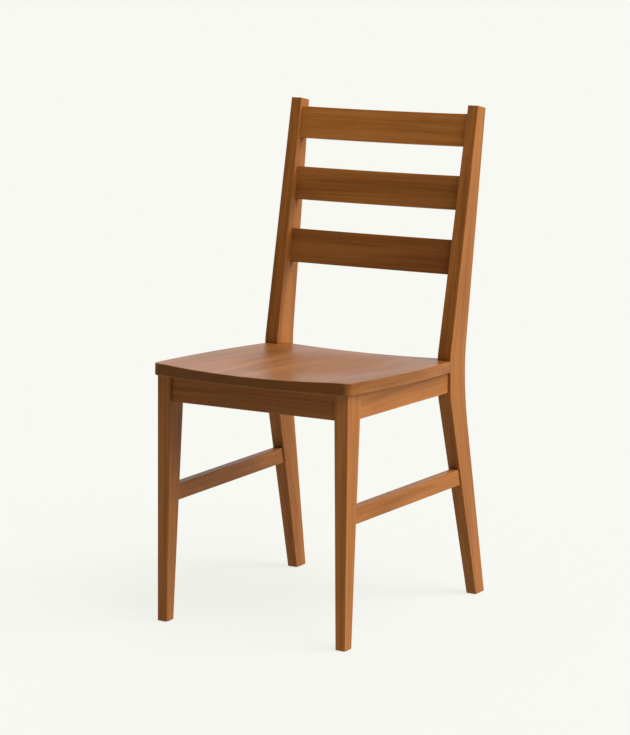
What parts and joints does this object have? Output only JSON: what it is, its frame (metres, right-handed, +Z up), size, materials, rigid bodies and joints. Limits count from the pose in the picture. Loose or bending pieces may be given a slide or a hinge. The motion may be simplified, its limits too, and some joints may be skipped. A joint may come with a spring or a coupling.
{
  "type": "ladderback chair",
  "caption": "Ladderback dining chair in warm brown stained wood, with a dished wooden seat, curved back slats and side stretchers.",
  "frame": {"origin": "on the floor, under the middle of the whole chair's box", "axes": "+Z up; -Y is where a sitter faces, so the front edge of the seat is at -Y and the back leans to +Y; +X is the sitter's left"},
  "size_m": [0.3976, 0.5172, 0.88],
  "materials": {
    "stained_wood": "satin",
    "plain_wood": "matte",
    "screw_steel": "satin",
    "glide_plastic": "matte"
  },
  "bodies": {
    "root": {"seat": "stained_wood", "front_leg_left": "stained_wood", "front_leg_right": "stained_wood", "rear_post_left": "stained_wood", "rear_post_right": "stained_wood", "front_rail": "stained_wood", "rear_rail": "stained_wood", "side_rail_left": "stained_wood", "side_rail_right": "stained_wood", "side_stretcher_left": "stained_wood", "side_stretcher_right": "stained_wood", "top_slat": "stained_wood", "middle_slat": "stained_wood", "lower_slat": "stained_wood", "corner_block_front_left": "plain_wood", "corner_block_front_right": "plain_wood", "corner_block_rear_left": "plain_wood", "corner_block_rear_right": "plain_wood", "rail_dowels": "plain_wood", "corner_block_screws": "screw_steel", "seat_screws": "screw_steel", "glide_front_left": "glide_plastic", "glide_front_right": "glide_plastic", "glide_rear_left": "glide_plastic", "glide_rear_right": "glide_plastic"}
  },
  "joints": []
}
